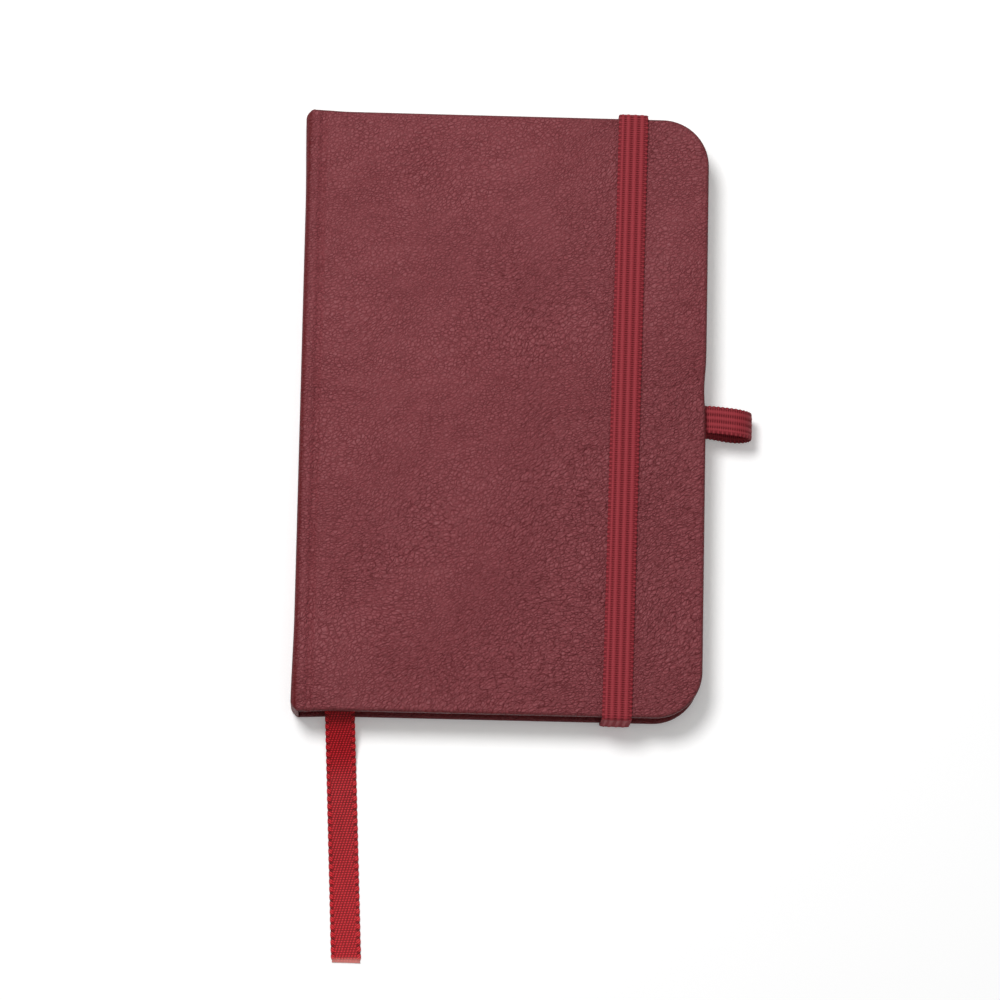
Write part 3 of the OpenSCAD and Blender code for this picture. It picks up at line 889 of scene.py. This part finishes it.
def make_elastic(finish):
    line, s = even_steps(band_line(), RUNG_PITCH / 4)
    middle = len(line) // 2
    s = s - s[middle]
    tangent = frame_along(line)
    turn = Matrix.Rotation(BAND_TURN, 3, "Z")
    across = np.array(turn @ Vector((1, 0, 0)))
    forward = np.array(turn @ Vector((0, 1, 0)))
    centre = np.array([BAND_X, 0, 0]) + line[:, :1] * forward + line[:, 1:] * np.array([0, 0, 1])
    up = -tangent[:, 1:] * forward + tangent[:, :1] * np.array([0, 0, 1])
    across = np.tile(across, (len(line), 1))
    on_front = (line[:, 0] > -BLEND_TO[0]) & (line[:, 1] > 8)
    low = int(np.argmax(on_front))
    high = len(line) - 1 - low
    cuts = {"elastic_front": slice(low, high + 1), "elastic_tail": slice(0, low + 1),
            "elastic_head": slice(high, len(line))}
    for name, part in cuts.items():
        points, faces, place = sweep_band(
            centre[part], up[part], across[part], s[part], BAND_W, 0.86)
        piece = make_piece(name, points, faces, finish, "elastic", sharp=75, band_mm=place)
        if name == "elastic_front":
            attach(piece, "strap")
            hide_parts("elastic_strap")
            continue
        side = 1 if name == "elastic_head" else -1
        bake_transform(piece)
        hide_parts("strap_end_head" if side > 0 else "strap_end_tail")


def loop_line():
    """The pen loop's line in x and z, from its lower glued end round to its upper one."""
    lo, hi = span("pen_loop")
    radius, half = 4.8, 0.4
    cx, cz = hi[0] - half - radius, 5.3
    start = (lo[0], 1.05)
    lower = [start, (44.9, 1.05), (46.2, 2.7), (47.6, 2.7)]
    sill = np.array([47.6 - cx, 2.7 - cz])
    reach = np.linalg.norm(sill)
    angle = math.atan2(sill[1], sill[0]) + math.acos(radius / reach)
    ring = [(cx + radius * math.cos(a), cz + radius * math.sin(a))
            for a in np.linspace(angle, math.pi / 2, 60)]
    upper = [(47.2, 10.1), (45.9, 9.6), (45.2, 8.2), (45.2, 1.85), (lo[0], 1.85)]
    first = rounded(lower + [ring[0]], 0.9)
    last = rounded([ring[-1]] + upper, 0.9)
    return np.vstack([first[:-1], ring, last[1:]])


def make_pen_loop(finish):
    lo, hi = span("pen_loop")
    line, s = even_steps(loop_line(), RUNG_PITCH / 4)
    tangent = frame_along(line)
    zero = np.zeros(len(line))
    out = smoothstep(47.6, hi[0], line[:, 0])
    centre = np.stack([line[:, 0], (lo[1] + hi[1]) / 2 + 0.25 - 0.75 * out, line[:, 1]], 1)
    up = np.stack([tangent[:, 1], zero, -tangent[:, 0]], 1)
    across = np.tile([0.0, 1.0, 0.0], (len(line), 1))
    points, faces, place = sweep_band(centre, up, across, s, hi[1] - lo[1], 0.72, samples=42)
    piece = make_piece("pen_loop_elastic", points, faces, finish, "elastic", sharp=75, band_mm=place)
    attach(piece, "back_cover")
    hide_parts("pen_loop")


def sweep_ribbon(centre, up, across, s, slant, end_taper):
    """Ribbon with corded selvedges whose loops stand out a little."""
    edge = RIBBON_W / 2
    top = np.concatenate([np.linspace(-edge, -2.3, 9), np.linspace(-2.3, 2.3, 15)[1:-1],
                          np.linspace(2.3, edge, 9)])
    under = np.linspace(edge, -edge, 16)[1:-1]
    shape = np.concatenate([top, under])
    face = np.concatenate([np.ones(len(top)), -np.ones(len(under))])
    length = s[-1]
    side = np.abs(shape)
    cord = np.sqrt(np.clip(1 - ((side - SELVEDGE_CORD) / 0.5) ** 2, 0, 1))
    points, place = [], []
    for c, n, b, f, at in zip(centre, up, across, frame_along(centre), s):
        loops = abs(math.sin(math.pi * at / SELVEDGE_PITCH + 0.4)) ** 0.8
        half = 0.055 + (0.035 + 0.045 * loops) * cord
        reach = edge - 0.16 * (1 - loops)
        x = np.sign(shape) * np.where(side > 2.6, 2.6 + (side - 2.6) * (reach - 2.6) / 0.9, side)
        near_end = smoothstep(2.5, 0.0, length - at) if end_taper else 0.0
        x = x * (1 - 0.05 * near_end ** 3)
        slide = slant * x * near_end
        lift = np.where(side > 2.55, 0.25 + 0.75 * loops * cord, 1.0)
        points.append(c + x[:, None] * b + (face * half)[:, None] * n + slide[:, None] * f)
        place.append(np.stack([shape, np.full_like(x, at), lift], 1))
    return np.vstack(points), tube_faces(len(centre), len(shape)), np.vstack(place)


def ribbon_frame(line):
    """Directions across and up for a ribbon that lies level across."""
    tangent = frame_along(line)
    across = np.cross([0.0, 0.0, 1.0], tangent)
    across = across / np.linalg.norm(across, axis=1)[:, None]
    up = np.cross(across, tangent)
    return across, up * np.sign(up[:, 2:])


def make_ribbon():
    line, s = resample(RIBBON_ROUTE, 0.2)
    finish = ribbon_finish(s[-1])
    across, up = ribbon_frame(line)
    points, faces, place = sweep_ribbon(line, up, across, s, 0.06, True)
    tail = make_piece("ribbon_tail_satin", points, faces, finish, "ribbon", sharp=70, band_mm=place)
    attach(tail, "back_cover")
    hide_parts("ribbon_tail")

    lo, hi = span("ribbon_inside")
    z = (lo[2] + hi[2]) / 2
    inner, s = even_steps(np.array([(-41.0, 66.5, z), (-36.2, -68.0, z)]), 0.35)
    across, up = ribbon_frame(inner)
    points, faces, place = sweep_ribbon(inner, up, across, s - s[-1], 0.0, False)
    piece = make_piece("ribbon_inside_satin", points, faces, finish, "ribbon", sharp=70, band_mm=place)
    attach(piece, "back_cover")
    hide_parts("ribbon_inside")


# ---------------------------------------------------------------- CAD nodes that stay

def dress_nodes():
    """Better materials on the CAD pieces whose shapes are right."""
    endpaper = paper_finish("endpaper", ((226, 216, 196), (238, 230, 212)), False)
    board = board_finish()
    lining = cloth_finish("lining_mull", (196, 190, 176), (228, 223, 210), 0.7)
    thread = cloth_finish("sewing_thread", (214, 208, 196), (240, 236, 226), 0.25)
    wanted = {
        endpaper: ("back_pastedown", "front_pastedown", "rear_flyleaf", "front_flyleaf"),
        board: ("back_board", "front_board", "spine_strip"),
        lining: ("rear_spine_lining", "front_spine_lining"),
        thread: ("rear_sewing_thread", "front_sewing_thread"),
    }
    for finish, names in wanted.items():
        for name in names:
            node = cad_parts[name]
            for place in node.material_slots:
                place.material = finish


# ---------------------------------------------------------------- floor, light, world

def make_floor():
    """Plain white floor: white to the camera away from the object, with the object's shadow kept."""
    mesh = bpy.data.meshes.new("floor")
    r, z = 3.0, -0.00003
    mesh.from_pydata([(-r, -r, z), (r, -r, z), (r, r, z), (-r, r, z)], [], [(0, 1, 2, 3)])
    floor = bpy.data.objects.new("floor", mesh)
    bpy.context.scene.collection.objects.link(floor)
    g = Graph("floor")
    away = g.vector("LENGTH", g.object_mm())
    glow = g.ramp(away, *FLOOR_GLOW, 0.20, 1.0)
    rays = g.node("ShaderNodeLightPath").outputs
    seen = g.math("ADD", rays["Is Camera Ray"], rays["Is Glossy Ray"], clamp=True)
    seen = g.math("ADD", seen, rays["Is Transmission Ray"], clamp=True)
    glow = g.math("MULTIPLY", seen, glow)
    g.put(g.shader.inputs["Emission Color"], (1.0, 1.0, 1.0, 1.0))
    g.put(g.shader.inputs["Emission Strength"], glow)
    mesh.materials.append(g.finish((0.93, 0.93, 0.93, 1.0), 1.0, Specular_IOR_Level=0.0))


def make_world():
    """Even white surroundings; the camera and glossy rays see plain white."""
    world = bpy.data.worlds.new("studio")
    bpy.context.scene.world = world
    world.use_nodes = True
    tree = world.node_tree
    back = tree.nodes["Background"]
    back.inputs["Color"].default_value = (1, 1, 1, 1)
    rays = tree.nodes.new("ShaderNodeLightPath")
    total = None
    for name in ("Is Camera Ray", "Is Glossy Ray", "Is Transmission Ray"):
        if total is None:
            total = rays.outputs[name]
            continue
        add = tree.nodes.new("ShaderNodeMath")
        add.operation = "ADD"
        add.use_clamp = True
        tree.links.new(total, add.inputs[0])
        tree.links.new(rays.outputs[name], add.inputs[1])
        total = add.outputs[0]
    level = tree.nodes.new("ShaderNodeMapRange")
    level.inputs["To Min"].default_value = WORLD_LEVEL
    level.inputs["To Max"].default_value = 1.0
    tree.links.new(total, level.inputs["Value"])
    tree.links.new(level.outputs[0], back.inputs["Strength"])


def make_lamp(name, place, size, power):
    data = bpy.data.lights.new(name, "AREA")
    data.shape = "DISK"
    data.size = size
    data.energy = power
    lamp = bpy.data.objects.new(name, data)
    lamp.location = place
    lamp.rotation_euler = (-Vector(place)).to_track_quat("-Z", "Y").to_euler()
    bpy.context.scene.collection.objects.link(lamp)


def main():
    bpy.context.scene.view_settings.view_transform = "Standard"
    make_camera()
    make_ribbon()
    leather = leather_finish()
    make_front_cover(leather)
    make_back_cover(leather)
    make_spine(leather)
    make_hinge("rear_hinge_leather", "rear_joint_skin", -1, leather)
    make_hinge("front_hinge_leather", "front_joint_skin", 1, leather)
    rng = random.Random(41)
    paper = paper_finish("page_paper", ((240, 233, 214), (249, 244, 230)), True)
    for number in range(10, 0, -1):
        body = "back_cover" if number > 5 else "front_pages"
        make_signature(f"signature_{number:02d}", body, paper, rng)
    elastic = elastic_finish()
    make_elastic(elastic)
    make_pen_loop(elastic)
    dress_nodes()
    make_floor()
    make_world()
    make_lamp("key", (-0.27, 0.28, 0.98), 0.34, 7.4)
    make_lamp("top", (0.1, 0.0, 1.6), 1.2, 4.5)


main()
